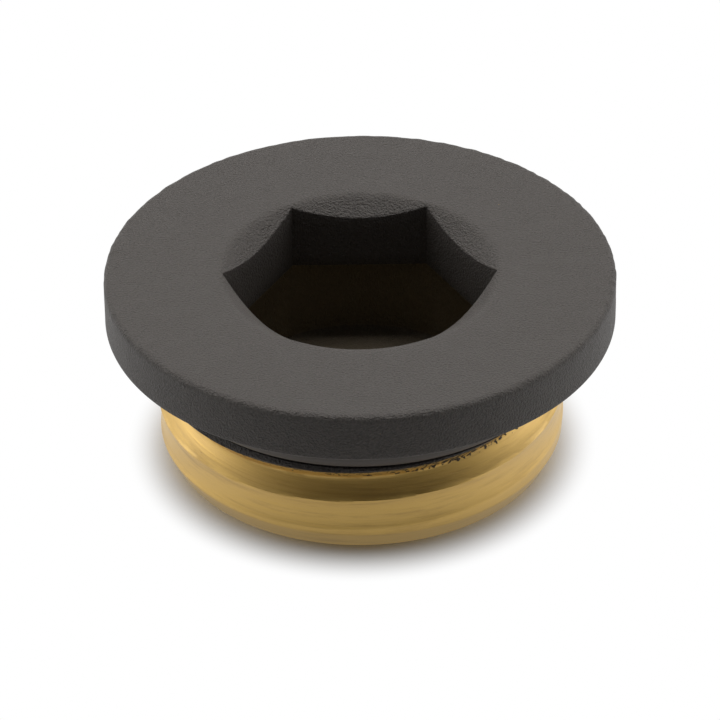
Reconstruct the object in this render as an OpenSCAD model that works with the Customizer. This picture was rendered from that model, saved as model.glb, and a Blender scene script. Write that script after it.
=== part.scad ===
// Blanking plug for a half-inch parallel pipe thread: a round head with a hexagonal key
// socket, a neck that holds a rubber sealing ring, and a short spigot for the thread.
// The plug stands on its spigot end, with Z up through the mouth of the socket.

/* [Head] */
// Diameter of the round head
head_d = 26; // [23:0.1:36]
// Thickness of the head
head_h = 2.6; // [1.8:0.1:6]
// Radius of the rounded upper edge
head_round = 0.37; // [0.1:0.01:1]
// Bevel that breaks the lower edge
head_bevel = 0.12; // [0.05:0.01:0.5]

/* [Spigot] */
// Diameter over the crests of the thread
thread_d = 20.8; // [19.8:0.05:21.5]
// Length of the spigot, from the ring groove to the plug's end
spigot_h = 4.9; // [4.5:0.1:16]
// Length of the lead-in chamfer, along the axis
lead_h = 1; // [0.3:0.1:2]
// Depth of the lead-in chamfer, across the axis
lead_depth = 0.5; // [0.2:0.05:1]
// Bevel where the thread starts below the groove
start_bevel = 0.25; // [0.05:0.05:0.5]

/* [Sealing ring and its groove] */
// Depth of the groove below the crests of the thread
groove_depth = 1.7; // [1.2:0.05:1.9]
// Thickness of the ring's round section
ring_section = 2.2; // [1.5:0.05:2.6]
// Room between the ring and each side of the groove, along the axis
ring_side_gap = 0.15; // [0.05:0.01:0.5]
// Room between the ring and the neck
ring_neck_gap = 0.03; // [0.01:0.01:0.1]
// Fillet at the foot of the groove, next to the head and next to the thread
groove_fillet = 0.2; // [0.05:0.05:0.4]

/* [Key socket] */
// Size of the hexagonal key, across its flats
key_af = 12; // [8:1:12]
// Room between the key and the socket, across the flats
key_clearance = 0.05; // [0.02:0.01:0.2]
// Depth of the hexagon, from the face of the head
hexagon_h = 3.7; // [2.5:0.1:5]
// How far the countersunk mouth reaches beyond the hexagon's corners
mouth_rim = 0.14; // [0.05:0.01:1]
// Angle of the countersink, side to side
mouth_angle = 108; // [60:1:130]
// How far the round relief is cut beyond the hexagon's corners
relief_cut = 0.34; // [0.1:0.01:0.5]
// Thickness of the web that closes the plug
web_h = 1.6; // [1:0.1:4]
// Fillet round the socket's floor
floor_fillet = 0.2; // [0.05:0.05:0.8]

/* [Hidden] */

graphite_spray = [0.37, 0.36, 0.35];
turned_brass = [0.71, 0.58, 0.34];
black_rubber = [0.13, 0.13, 0.13];
$fn = 180;
// How far a cutting shape runs past the face that it opens
past = 1;

neck_r = thread_d / 2 - groove_depth;
groove_w = ring_section + 2 * ring_side_gap;
groove_z = spigot_h;
head_z = groove_z + groove_w;
top_z = head_z + head_h;

socket_af = key_af + key_clearance;
corner_r = socket_af / sqrt(3);
hexagon_z = top_z - hexagon_h;
mouth_r = corner_r + mouth_rim;
relief_r = corner_r + relief_cut;
ring_r = neck_r + ring_neck_gap + ring_section / 2;

// A corner of a turned profile filled to a fillet of radius r: the corner is at [x, y], and
// sx and sy point from it into the open side.
module fillet(x, y, r, sx, sy)
    translate([x, y])
        difference() {
            translate([sx > 0 ? 0 : -r, sy > 0 ? 0 : -r]) square(r);
            translate([sx * r, sy * r]) circle(r);
        }

// Half section of the head: a disc with a rounded upper edge and a broken lower edge.
module head_profile()
    difference() {
        union() {
            translate([0, head_z]) square([head_d / 2, head_h - head_round]);
            translate([0, head_z]) square([head_d / 2 - head_round, head_h]);
            translate([head_d / 2 - head_round, top_z - head_round]) circle(head_round);
        }
        polygon([
            [head_d / 2 - head_bevel, head_z],
            [head_d / 2 + past, head_z - past],
            [head_d / 2 + past, head_z + head_bevel + past],
            [head_d / 2, head_z + head_bevel],
        ]);
    }

// Half section of the neck and the spigot, with the lead-in chamfer, the bevel where the
// thread starts, and a fillet at both feet of the groove.
module spigot_profile() {
    polygon([
        [0, 0],
        [thread_d / 2 - lead_depth, 0],
        [thread_d / 2, lead_h],
        [thread_d / 2, groove_z - start_bevel],
        [thread_d / 2 - start_bevel, groove_z],
        [0, groove_z],
    ]);
    translate([0, groove_z]) square([neck_r, groove_w]);
    fillet(neck_r, groove_z, groove_fillet, 1, 1);
    fillet(neck_r, head_z, groove_fillet, 1, -1);
}

// Half section of the round relief under the hexagon, with a fillet round its floor.
module relief_profile()
    difference() {
        translate([0, web_h]) square([relief_r, hexagon_z - web_h]);
        fillet(relief_r, web_h, floor_fillet, -1, 1);
    }

// The space that is cut out for the key: a countersunk mouth, the hexagon, with two of its
// corners on the X axis, and the relief below it.
module key_socket() {
    sink_h = mouth_r / tan(mouth_angle / 2);
    past_r = mouth_r + past * tan(mouth_angle / 2);
    translate([0, 0, top_z - sink_h]) cylinder(h = sink_h + past, r1 = 0, r2 = past_r);
    translate([0, 0, web_h + floor_fillet])
        cylinder(h = top_z - web_h - floor_fillet + past, r = corner_r, $fn = 6);
    rotate_extrude() relief_profile();
}

module plug_body() {
    color(graphite_spray)
        difference() {
            rotate_extrude() head_profile();
            key_socket();
        }
    color(turned_brass)
        difference() {
            rotate_extrude() spigot_profile();
            key_socket();
        }
}

module sealing_ring() {
    color(black_rubber)
        translate([0, 0, groove_z + groove_w / 2])
            rotate_extrude() translate([ring_r, 0]) circle(ring_section / 2);
}

plug_body();
sealing_ring();
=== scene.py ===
"""Looks of a half-inch blanking plug: one turned brass body, its head and key socket sprayed
satin graphite grey, and a moulded rubber sealing ring on its neck."""

import math

import bpy
import numpy as np
from mathutils import Matrix, Vector


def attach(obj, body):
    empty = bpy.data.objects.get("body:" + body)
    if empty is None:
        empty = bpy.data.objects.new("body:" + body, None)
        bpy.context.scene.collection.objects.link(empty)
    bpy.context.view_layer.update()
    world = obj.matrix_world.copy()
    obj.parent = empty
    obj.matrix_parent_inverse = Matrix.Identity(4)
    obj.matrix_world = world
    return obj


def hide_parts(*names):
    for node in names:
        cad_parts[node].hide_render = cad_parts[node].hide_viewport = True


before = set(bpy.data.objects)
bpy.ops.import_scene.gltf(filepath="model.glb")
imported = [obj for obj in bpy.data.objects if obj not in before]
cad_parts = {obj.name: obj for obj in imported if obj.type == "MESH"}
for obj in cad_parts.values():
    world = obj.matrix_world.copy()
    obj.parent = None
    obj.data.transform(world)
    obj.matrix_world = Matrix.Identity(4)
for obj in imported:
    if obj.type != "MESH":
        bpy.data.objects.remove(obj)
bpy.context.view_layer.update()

MM = 0.001

# Sizes of the plug in millimetres, as in the part's source

head_r = 13.0
head_round = 0.37
head_bevel = 0.12
thread_r = 10.4
end_r = 9.9
lead_h = 1.0
start_bevel = 0.25
neck_r = 8.7
groove_fillet = 0.2
shoulder_z = 4.9
head_z = 7.4
top_z = 10.0
hexagon_af = 12.05
hexagon_z = 6.3
mouth_r = hexagon_af / math.sqrt(3) + 0.14
mouth_slope = 1 / math.tan(math.radians(54))
relief_r = hexagon_af / math.sqrt(3) + 0.34
floor_z = 1.6
floor_fillet = 0.2
ring_section = 2.2
ring_r = neck_r + 0.03 + ring_section / 2
ring_z = (shoulder_z + head_z) / 2

# Half-inch parallel pipe thread, right hand

pitch = 1.814
crest_depth = 5.12
crest_land = 0.03

# Depth of the thread's hollow, and the power that shapes it, along the helix: turns of the
# thread counted from the plug's front, where the first whole groove has turn 0

helix_turns = (-1.3, 0.28, 0.72, 1.3, 1.7, 2.3)
hollow_depths = (0.9, 0.8, 0.16, 0.14, 0.08, 0.05)
hollow_powers = (1.4, 1.4, 2.4, 2.6, 3.0, 3.0)

# Relief of the sprayed skin and of the burr on the head's edge

waves = 40
peel_height = 0.005
burr_height = 0.009

# Rows and columns of the body's mesh

columns = 600
thread_rows = 58
ring_columns = 360
ring_rows = 96


def turned(angle):
    """Directions of the plug's columns: the unit circle at each angle."""
    return np.cos(angle), np.sin(angle)


def from_front(angle):
    """Degrees round the axis from the plug's front, -Y, positive towards +X."""
    return (np.degrees(angle) + 270) % 360 - 180


def hexagon_radius(angle):
    """Distance from the axis to a hexagon with a corner on X: half its size across flats,
    over the cosine of the angle from the middle of the nearest flat."""
    from_flat = angle % (math.pi / 3) - math.pi / 6
    return hexagon_af / 2 / np.cos(from_flat)


def thread_radius(angle, height):
    """Radius of the thread's surface. Between two crests, a pitch apart along the axis, the
    groove is a hollow: its depth times one less a power of the distance from its middle. Each
    turn rises by a pitch. Along the helix the groove grows shallower and flatter towards the
    spigot's end."""
    azimuth = from_front(angle)
    turn = (top_z - height - crest_depth) / pitch + azimuth / 360
    groove = np.floor(turn)
    from_middle = np.abs(2 * (turn - groove) - 1)
    wound = groove - azimuth / 360
    hollow = np.interp(wound, helix_turns, hollow_depths)
    power = np.interp(wound, helix_turns, hollow_powers)
    return thread_r - np.clip(hollow * (1 - from_middle ** power) - crest_land, 0, None)


def rounded_section(corners):
    """Rows of a section that is carried round the axis. A corner is (radius, height, trim,
    steps, run). The section is cut back by trim, one value or one for each column, on
    both sides of a corner, and joined there by the parabola that has the corner as its control
    point, in steps rows. The straight line on to the next corner has run rows between its
    ends."""
    points = [np.stack(np.broadcast_arrays(radius, height, np.zeros(columns))[:2], 1).astype(float)
              for radius, height, trim, steps, run in corners]
    last = len(points) - 1
    spans = []
    for k, (radius, height, trim, steps, run) in enumerate(corners):
        here = points[k]
        if k in (0, last) or not np.any(trim):
            spans.append([here])
            continue
        trim = np.reshape(trim, (-1, 1))
        back = points[k - 1] - here
        on = points[k + 1] - here
        start = here + trim * back / np.linalg.norm(back, axis=1, keepdims=True)
        end = here + trim * on / np.linalg.norm(on, axis=1, keepdims=True)
        share = np.linspace(0, 1, steps + 1)
        spans.append([(1 - t) ** 2 * start + 2 * t * (1 - t) * here + t ** 2 * end for t in share])
    rows = []
    for k, span in enumerate(spans):
        rows += span
        if k < last:
            run = corners[k][4]
            first, second = span[-1], spans[k + 1][0]
            rows += [first + (second - first) * t for t in np.arange(1, run + 1) / (run + 1)]
    return rows


def plug_rows(angle):
    """The body's rows from the middle of the socket's floor, out over the head, down the
    spigot and in to the middle of its end."""
    hexagon_r = hexagon_radius(angle)
    sink_z = top_z - (mouth_r - hexagon_r) * mouth_slope
    mouth_trim = np.minimum(0.3, 0.45 * np.hypot(mouth_r - hexagon_r, top_z - sink_z))
    upper = rounded_section([
        (0.02, floor_z, 0, 0, 4),
        (relief_r, floor_z, floor_fillet, 5, 5),
        (relief_r, hexagon_z, 0.05, 2, 1),
        (hexagon_r, hexagon_z, 0.05, 2, 4),
        (hexagon_r, sink_z, 0.06, 3, 3),
        (mouth_r, top_z, mouth_trim, 5, 8),
        (head_r, top_z, head_round, 11, 8),
        (head_r, head_z + head_bevel, 0.03, 1, 0),
        (head_r - head_bevel, head_z, 0.03, 1, 5),
        (neck_r, head_z, groove_fillet, 3, 4),
        (neck_r, shoulder_z, groove_fillet, 3, 3),
        (thread_r - start_bevel, shoulder_z, 0, 0, 0),
    ])
    height = np.linspace(shoulder_z, 0, thread_rows)[1:-1]
    wall = np.minimum(thread_r, np.minimum(
        thread_r - start_bevel + (shoulder_z - height),
        thread_r - (thread_r - end_r) * (1 - height / lead_h)))
    threaded = [np.stack([np.minimum(wall[j], thread_radius(angle, z)), np.full(columns, z)], 1)
                for j, z in enumerate(height)]
    end_radius = np.minimum(end_r, thread_radius(angle, 0.0))
    lower = rounded_section([
        (end_radius, 0.0, 0, 0, 3),
        (0.02, 0.0, 0, 0, 0),
    ])
    return np.array(upper + threaded + lower)


def unevenness(points, seed, shortest, longest):
    """A random relief, about 1 high: the sum of plane waves in random directions, with
    wavelengths in millimetres between the two given, over the root of half their number."""
    draw = np.random.default_rng(seed)
    direction = draw.normal(size=(waves, 3))
    direction /= np.linalg.norm(direction, axis=1, keepdims=True)
    length = draw.uniform(shortest, longest, waves)
    phase = draw.uniform(0, 2 * math.pi, waves)
    relief = sum(np.cos(points @ direction[k] * 2 * math.pi / length[k] + phase[k])
                 for k in range(waves))
    return relief / math.sqrt(waves / 2)


def weathered(rows, angle):
    """The rows moved along the section's normal: a slight orange peel where the head is
    sprayed, and a rough burr left along the head's upper edge."""
    cosine, sine = turned(angle)
    radius, height = rows[..., 0], rows[..., 1]
    points = np.stack([radius * cosine, radius * sine, height], -1)
    along = np.gradient(rows, axis=0)
    normal = np.stack([-along[..., 1], along[..., 0]], -1)
    normal /= np.linalg.norm(normal, axis=-1, keepdims=True) + 1e-9
    painted = (radius > mouth_r + 0.5) & (height > head_z + 0.2)
    from_edge = np.hypot(radius - (head_r - 0.12), height - (top_z - 0.12))
    burr = np.exp(-(from_edge / 0.25) ** 2)
    move = peel_height * painted * unevenness(points, 3, 0.8, 2.4)
    move = move + burr_height * burr * unevenness(points, 7, 0.4, 1.0)
    return rows + normal * move[..., None]


def closed_piece(name, rows, angle):
    """A mesh from rows of (radius, height) at each angle: quads between the rows, and the
    first and last row closed with a fan to a point on the axis."""
    count, across = rows.shape[:2]
    cosine, sine = turned(angle)
    radius, height = rows[..., 0], rows[..., 1]
    points = np.stack([radius * cosine, radius * sine, height], -1).reshape(-1, 3)
    poles = np.array([[0, 0, height[0].mean()], [0, 0, height[-1].mean()]])
    points = np.concatenate([points, poles]) * MM
    i, j = np.meshgrid(np.arange(count - 1), np.arange(across), indexing="ij")
    k = (j + 1) % across
    quads = np.stack([i * across + j, (i + 1) * across + j, (i + 1) * across + k,
                      i * across + k], -1).reshape(-1, 4)
    j = np.arange(across)
    k = (j + 1) % across
    first = np.stack([np.full(across, count * across), j, k], -1)
    foot = (count - 1) * across
    final = np.stack([np.full(across, count * across + 1), foot + k, foot + j], -1)
    mesh = bpy.data.meshes.new(name)
    mesh.from_pydata(points, [], quads.tolist() + first.tolist() + final.tolist())
    mesh.update()
    piece = bpy.data.objects.new(name, mesh)
    bpy.context.scene.collection.objects.link(piece)
    return piece


def attribute(piece, name, kind, values):
    """Stores one value or vector for each point of the piece."""
    made = piece.data.attributes.new(name, kind, "POINT")
    made.data.foreach_set("vector" if kind == "FLOAT_VECTOR" else "value",
                          np.ascontiguousarray(values, np.float32).ravel())


angle = np.arange(columns) * 2 * math.pi / columns
rows = weathered(plug_rows(angle), angle)
body = closed_piece("turned_plug_body", rows, angle)

step = np.linalg.norm(np.diff(rows, axis=0), axis=2).mean(1)
along = np.concatenate([[0], np.cumsum(step)])
cosine, sine = turned(angle)
lathe = np.stack([np.broadcast_to(3 * cosine, rows.shape[:2]),
                  np.broadcast_to(3 * sine, rows.shape[:2]),
                  np.broadcast_to(along[:, None], rows.shape[:2])], -1).reshape(-1, 3)
lathe = np.concatenate([lathe, [[0, 0, along[0]], [0, 0, along[-1]]]])
attribute(body, "turning", "FLOAT_VECTOR", lathe)

height = rows[..., 1]
index = np.broadcast_to(np.arange(rows.shape[0])[:, None], height.shape)
top_row = int(np.argmax(height.mean(1)))
outside = index > top_row
azimuth = np.broadcast_to(from_front(angle), height.shape)
depth = top_z - height
# Along the thread's top, down to rim_line, the brass is fully covered with dark paint. This band is
# partly painted shade, standing in for the shade in the gap under the sealing ring.
rim_line = 5.18 + 0.4 * np.exp(-((azimuth + 40) / 50) ** 2)
mist = 0.31 + 0.2 * np.exp(-((azimuth - 32) / 26) ** 2)
mist = mist * np.clip((6.05 - depth) / 0.15, 0, 1)
rim_paint_and_shade = np.maximum(mist, np.clip((rim_line - depth) / 0.08 + 0.5, 0, 1))
paint_cover_and_shade = np.where(outside & (height < shoulder_z + 0.3), rim_paint_and_shade, 1.0)
in_relief = ~outside & (height < hexagon_z + 0.02)
thin = np.where(in_relief, np.where(height > floor_z + 0.1, 1.0, 0.5), 0.0)
thin_ends = [thin[0, 0], 0]
attribute(body, "thin", "FLOAT", np.concatenate([thin.ravel(), thin_ends]))
attribute(body, "paint_cover_and_shade", "FLOAT", np.concatenate([paint_cover_and_shade.ravel(), [paint_cover_and_shade[0, 0], 0]]))

body.data.polygons.foreach_set("use_smooth", np.ones(len(body.data.polygons), bool))
body.data.set_sharp_from_angle(angle=math.radians(35))

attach(body, "root")
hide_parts("plug_body")


def linear(colour):
    """An sRGB hex colour as linear light."""
    parts = np.array([int(colour[k:k + 2], 16) for k in (1, 3, 5)]) / 255
    light = np.where(parts <= 0.04045, parts / 12.92, ((parts + 0.055) / 1.055) ** 2.4)
    return (*light, 1.0)


def add(tree, kind, inputs=None, **settings):
    """Adds a node, makes its settings, and gives each named input its value or its link."""
    node = tree.nodes.new(kind)
    for name, value in settings.items():
        setattr(node, name, value)
    for name, value in (inputs or {}).items():
        socket = node.inputs[name]
        if isinstance(value, bpy.types.NodeSocket):
            tree.links.new(value, socket)
        else:
            socket.default_value = value
    return node


def new_material(name):
    """A new material with an empty node tree."""
    made = bpy.data.materials.new(name)
    made.use_nodes = True
    made.node_tree.nodes.clear()
    return made, made.node_tree


def sprayed_brass():
    """Turned free-cutting brass with satin graphite spray paint on the head and socket. The
    paint gives a soft grey with fine grain; the brass is dull yellow, paler at its edges from
    the film of turning oil, with turning streaks, brown stains and specks of overspray."""
    material, tree = new_material("graphite_spray_on_turned_brass")
    place = add(tree, "ShaderNodeTexCoord").outputs["Object"]
    # The paint cover also holds the band along the thread's top that serves as painted shade under
    # the sealing ring.
    paint_cover_and_shade = add(tree, "ShaderNodeAttribute", attribute_name="paint_cover_and_shade").outputs["Fac"]
    turning = add(tree, "ShaderNodeAttribute", attribute_name="turning").outputs["Vector"]
    speck = add(tree, "ShaderNodeTexNoise", {"Vector": place, "Scale": 4500.0, "Detail": 2.0})
    shifted = add(tree, "ShaderNodeMath", {0: speck.outputs["Fac"], 1: -0.5}, operation="ADD")
    spread = add(tree, "ShaderNodeMath", {0: shifted.outputs[0], 1: 1.6, 2: paint_cover_and_shade},
                 operation="MULTIPLY_ADD")
    covered = add(tree, "ShaderNodeMapRange", {"Value": spread.outputs[0], "From Min": 0.44,
                                               "From Max": 0.54}, interpolation_type="SMOOTHSTEP")
    cover = covered.outputs["Result"]

    grain = add(tree, "ShaderNodeTexNoise", {"Vector": place, "Scale": 9500.0, "Detail": 2.0,
                                             "Roughness": 0.6})
    paint = add(tree, "ShaderNodeMix", {"Factor": grain.outputs["Fac"], "A": linear("#221F1D"),
                                        "B": linear("#58514B")}, data_type="RGBA")
    thin = add(tree, "ShaderNodeAttribute", attribute_name="thin").outputs["Fac"]
    paint = add(tree, "ShaderNodeMix", {"Factor": thin, "A": paint.outputs["Result"],
                                        "B": linear("#786A50")}, data_type="RGBA")
    whole = add(tree, "ShaderNodeMapRange", {"Value": paint_cover_and_shade, "From Min": 0.5, "From Max": 0.95})
    paint = add(tree, "ShaderNodeMix", {"Factor": whole.outputs["Result"], "A": linear("#3A2E1A"),
                                        "B": paint.outputs["Result"]}, data_type="RGBA")
    streak_place = add(tree, "ShaderNodeMapping", {"Vector": turning, "Scale": (1.0, 1.0, 9.0)})
    streak = add(tree, "ShaderNodeTexNoise", {"Vector": streak_place.outputs[0], "Scale": 1.0,
                                              "Detail": 4.0, "Roughness": 0.6})
    brass = add(tree, "ShaderNodeMix", {"Factor": streak.outputs["Fac"], "A": linear("#C6A04A"),
                                        "B": linear("#D8B66A")}, data_type="RGBA")
    blotch_place = add(tree, "ShaderNodeMapping", {"Vector": turning, "Scale": (0.7, 0.7, 2.2)})
    blotch = add(tree, "ShaderNodeTexNoise", {"Vector": blotch_place.outputs[0], "Scale": 1.0,
                                              "Detail": 5.0, "Roughness": 0.7})
    stained = add(tree, "ShaderNodeMapRange", {"Value": blotch.outputs["Fac"], "From Min": 0.5,
                                               "From Max": 0.75, "To Max": 0.45})
    brass = add(tree, "ShaderNodeMix", {"Factor": stained.outputs["Result"],
                                        "A": brass.outputs["Result"],
                                        "B": linear("#8E6C34")}, data_type="RGBA")
    colour = add(tree, "ShaderNodeMix", {"Factor": cover, "A": brass.outputs["Result"],
                                         "B": paint.outputs["Result"]}, data_type="RGBA")
    brass_gloss = add(tree, "ShaderNodeMapRange", {"Value": streak.outputs["Fac"],
                                                   "From Min": 0.3, "From Max": 0.7,
                                                   "To Min": 0.48, "To Max": 0.60})
    gloss = add(tree, "ShaderNodeMix", {"Factor": cover, "A": brass_gloss.outputs["Result"],
                                        "B": 0.55}, data_type="FLOAT")
    metal = add(tree, "ShaderNodeMath", {0: 1.0, 1: cover}, operation="SUBTRACT")
    relief = add(tree, "ShaderNodeMapRange", {"Value": cover, "To Min": 0.0, "To Max": 1.0})
    lines = add(tree, "ShaderNodeMath", {0: streak.outputs["Fac"], 1: 0.12}, operation="MULTIPLY")
    height = add(tree, "ShaderNodeMix", {"Factor": relief.outputs["Result"], "A": lines.outputs[0],
                                         "B": grain.outputs["Fac"]}, data_type="FLOAT")
    grain_bump = add(tree, "ShaderNodeBump", {"Height": height.outputs["Result"], "Strength": 1.0,
                                              "Distance": 0.00016})
    oiled = add(tree, "ShaderNodeMath", {0: metal.outputs[0], 1: 0.6}, operation="MULTIPLY")
    shader = add(tree, "ShaderNodeBsdfPrincipled", {
        "Base Color": colour.outputs["Result"], "Metallic": metal.outputs[0],
        "Roughness": gloss.outputs["Result"], "Normal": grain_bump.outputs["Normal"],
        "Coat Weight": oiled.outputs[0], "Coat Roughness": 0.4, "Coat IOR": 1.6})
    add(tree, "ShaderNodeOutputMaterial", {"Surface": shader.outputs["BSDF"]})
    return material


def moulded_rubber():
    """Nitrile rubber, compression moulded: a matt near-black skin with a fine even grain."""
    material, tree = new_material("moulded_black_rubber")
    place = add(tree, "ShaderNodeTexCoord").outputs["Object"]
    grain = add(tree, "ShaderNodeTexNoise", {"Vector": place, "Scale": 5000.0, "Detail": 2.0})
    bump = add(tree, "ShaderNodeBump", {"Height": grain.outputs["Fac"], "Strength": 0.4,
                                        "Distance": 0.00002})
    shader = add(tree, "ShaderNodeBsdfPrincipled", {
        "Base Color": linear("#4A443F"), "Roughness": 0.6, "Normal": bump.outputs["Normal"]})
    add(tree, "ShaderNodeOutputMaterial", {"Surface": shader.outputs["BSDF"]})
    return material


body.data.materials.append(sprayed_brass())


def sealing_ring_piece():
    """The ring's round section carried round the axis, with the fine seam that its mould
    leaves outside and inside."""
    around = np.arange(ring_columns) * 2 * math.pi / ring_columns
    section = np.arange(ring_rows) * 2 * math.pi / ring_rows
    seam = np.exp(-(np.sin(section) / 0.09) ** 2)
    size = ring_section / 2 - 0.01 + 0.02 * seam
    radius = ring_r + size * np.cos(section)
    height = ring_z + size * np.sin(section)
    points = np.stack([radius[:, None] * np.cos(around), radius[:, None] * np.sin(around),
                       np.broadcast_to(height[:, None], (ring_rows, ring_columns))], -1)
    i, j = np.meshgrid(np.arange(ring_rows), np.arange(ring_columns), indexing="ij")
    on, past = (i + 1) % ring_rows, (j + 1) % ring_columns
    quads = np.stack([i * ring_columns + j, i * ring_columns + past,
                      on * ring_columns + past, on * ring_columns + j], -1).reshape(-1, 4)
    mesh = bpy.data.meshes.new("moulded_sealing_ring")
    mesh.from_pydata(points.reshape(-1, 3) * MM, [], quads.tolist())
    mesh.polygons.foreach_set("use_smooth", np.ones(len(quads), bool))
    piece = bpy.data.objects.new("moulded_sealing_ring", mesh)
    bpy.context.scene.collection.objects.link(piece)
    return piece


ring = sealing_ring_piece()
ring.data.materials.append(moulded_rubber())
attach(ring, "root")
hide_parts("sealing_ring")

# Floor

floor_mesh = bpy.data.meshes.new("floor")
around = np.arange(96) * 2 * math.pi / 96
reach = np.array([9.4, 14.0, 30.0, 90.0, 250.0, 700.0])
points = np.stack([reach[:, None] * np.cos(around), reach[:, None] * np.sin(around),
                   np.zeros((6, 96))], -1).reshape(-1, 3)
i, j = np.meshgrid(np.arange(5), np.arange(96), indexing="ij")
k = (j + 1) % 96
quads = np.stack([i * 96 + j, (i + 1) * 96 + j, (i + 1) * 96 + k, i * 96 + k], -1).reshape(-1, 4)
floor_mesh.from_pydata(points * MM, [], quads.tolist())
floor = bpy.data.objects.new("floor", floor_mesh)
bpy.context.scene.collection.objects.link(floor)

# In reflections the floor is a white glow with painted shade: dimmer towards the plug's front, and a
# painted shadow close round its foot. Camera rays see the diffuse floor's real shadow near the plug
# and plain white further out.
material, tree = new_material("white_table")
place = add(tree, "ShaderNodeTexCoord").outputs["Object"]
flat = add(tree, "ShaderNodeVectorMath", {0: place, 1: (0.0, -0.0009, 0.0)},
           operation="DISTANCE")
near = add(tree, "ShaderNodeMapRange", {"Value": flat.outputs["Value"], "From Min": 0.0090,
                                        "From Max": 0.0122}, interpolation_type="SMOOTHSTEP")
path = add(tree, "ShaderNodeLightPath")
straight = add(tree, "ShaderNodeMath", {0: path.outputs["Is Camera Ray"],
                                        1: near.outputs["Result"]}, operation="MULTIPLY")
mirrored = add(tree, "ShaderNodeMath", {0: path.outputs["Is Glossy Ray"],
                                        1: path.outputs["Is Transmission Ray"]},
               operation="MAXIMUM")
share = add(tree, "ShaderNodeMath", {0: straight.outputs[0], 1: mirrored.outputs[0]},
            operation="MAXIMUM")
parts = add(tree, "ShaderNodeSeparateXYZ", {"Vector": place})
# Painted shade for reflections: the floor's glow is dimmed towards the front of the plug.
front_shade_in_reflections = add(tree, "ShaderNodeMapRange", {"Value": parts.outputs["Y"], "From Min": -0.019,
                                         "From Max": -0.008, "To Min": 0.45, "To Max": 1.0})
# Painted shadow for reflections: the floor's glow is dimmed close round the plug's foot.
foot = add(tree, "ShaderNodeMapRange", {"Value": flat.outputs["Value"], "From Min": 0.0098,
                                        "From Max": 0.0118, "To Min": 0.42, "To Max": 1.0})
level = add(tree, "ShaderNodeMath", {0: front_shade_in_reflections.outputs["Result"], 1: foot.outputs["Result"]},
            operation="MULTIPLY")
level = add(tree, "ShaderNodeMath", {0: level.outputs[0],
                                     1: path.outputs["Is Camera Ray"]}, operation="MAXIMUM")
matt = add(tree, "ShaderNodeBsdfDiffuse", {"Color": (0.92, 0.92, 0.92, 1)})
white = add(tree, "ShaderNodeEmission", {"Color": (1, 1, 1, 1), "Strength": level.outputs[0]})
above = add(tree, "ShaderNodeMixShader", {0: share.outputs[0], 1: matt.outputs[0],
                                          2: white.outputs[0]})
side = add(tree, "ShaderNodeNewGeometry")
clear = add(tree, "ShaderNodeBsdfTransparent")
both = add(tree, "ShaderNodeMixShader", {0: side.outputs["Backfacing"], 1: above.outputs[0],
                                         2: clear.outputs[0]})
add(tree, "ShaderNodeOutputMaterial", {"Surface": both.outputs[0]})
floor_mesh.materials.append(material)

# World

front_glow = 0.15
ambient = 0.06

world = bpy.data.worlds.new("studio")
bpy.context.scene.world = world
world.use_nodes = True
tree = world.node_tree
tree.nodes.clear()
path = add(tree, "ShaderNodeLightPath")
seen = add(tree, "ShaderNodeMath", {0: path.outputs["Is Camera Ray"],
                                    1: path.outputs["Is Glossy Ray"]}, operation="MAXIMUM")
seen = add(tree, "ShaderNodeMath", {0: seen.outputs[0], 1: path.outputs["Is Transmission Ray"]},
           operation="MAXIMUM")
dim = add(tree, "ShaderNodeBackground", {"Color": (1, 1, 1, 1), "Strength": ambient})
direction = add(tree, "ShaderNodeTexCoord").outputs["Generated"]
parts = add(tree, "ShaderNodeSeparateXYZ", {"Vector": direction})
back = add(tree, "ShaderNodeMapRange", {"Value": parts.outputs["Y"], "From Min": -0.5,
                                        "From Max": 0.1, "To Min": front_glow, "To Max": 1.0})
shown = add(tree, "ShaderNodeMath", {0: back.outputs["Result"], 1: path.outputs["Is Camera Ray"]},
            operation="MAXIMUM")
white = add(tree, "ShaderNodeBackground", {"Color": (1, 1, 1, 1), "Strength": shown.outputs[0]})
both = add(tree, "ShaderNodeMixShader", {0: seen.outputs[0], 1: dim.outputs[0], 2: white.outputs[0]})
add(tree, "ShaderNodeOutputWorld", {"Surface": both.outputs[0]})


def softbox(name, place, size, share):
    """A square lamp that faces the plug. share is how bright it alone shows a white card that
    faces it at the plug: the lamp's power over pi squared and its distance squared."""
    lamp = bpy.data.lights.new(name, "AREA")
    lamp.shape = "SQUARE"
    lamp.size = size * MM
    centre = Vector((0, 0, 5))
    lamp.energy = share * math.pi ** 2 * ((Vector(place) - centre).length * MM) ** 2
    holder = bpy.data.objects.new(name, lamp)
    bpy.context.scene.collection.objects.link(holder)
    holder.location = Vector(place) * MM
    holder.rotation_mode = "QUATERNION"
    holder.rotation_quaternion = (centre - Vector(place)).to_track_quat("-Z", "Y")


softbox("top_softbox", (0, 60, 225), 160, 0.90)
softbox("left_softbox", (-220, 60, 60), 120, 0.17)
softbox("right_softbox", (220, 60, 60), 120, 0.17)

# Camera

camera_place = Vector((0.0, -214.989, 152.981))
camera_aim = Vector((-0.049, 0.0, 4.4515))
camera_roll = math.radians(-0.7476)
camera = bpy.data.cameras.new("camera")
camera.sensor_width = 36.0
camera.lens = 254.58
camera.clip_start = 0.01
camera.clip_end = 10.0
holder = bpy.data.objects.new("camera", camera)
bpy.context.scene.collection.objects.link(holder)
holder.location = camera_place * MM
forward = (camera_aim - camera_place).normalized()
level = forward.to_track_quat("-Z", "Y")
holder.rotation_mode = "QUATERNION"
holder.rotation_quaternion = level @ Matrix.Rotation(camera_roll, 3, "Z").to_quaternion()
bpy.context.scene.camera = holder

bpy.context.scene.view_settings.view_transform = "Standard"
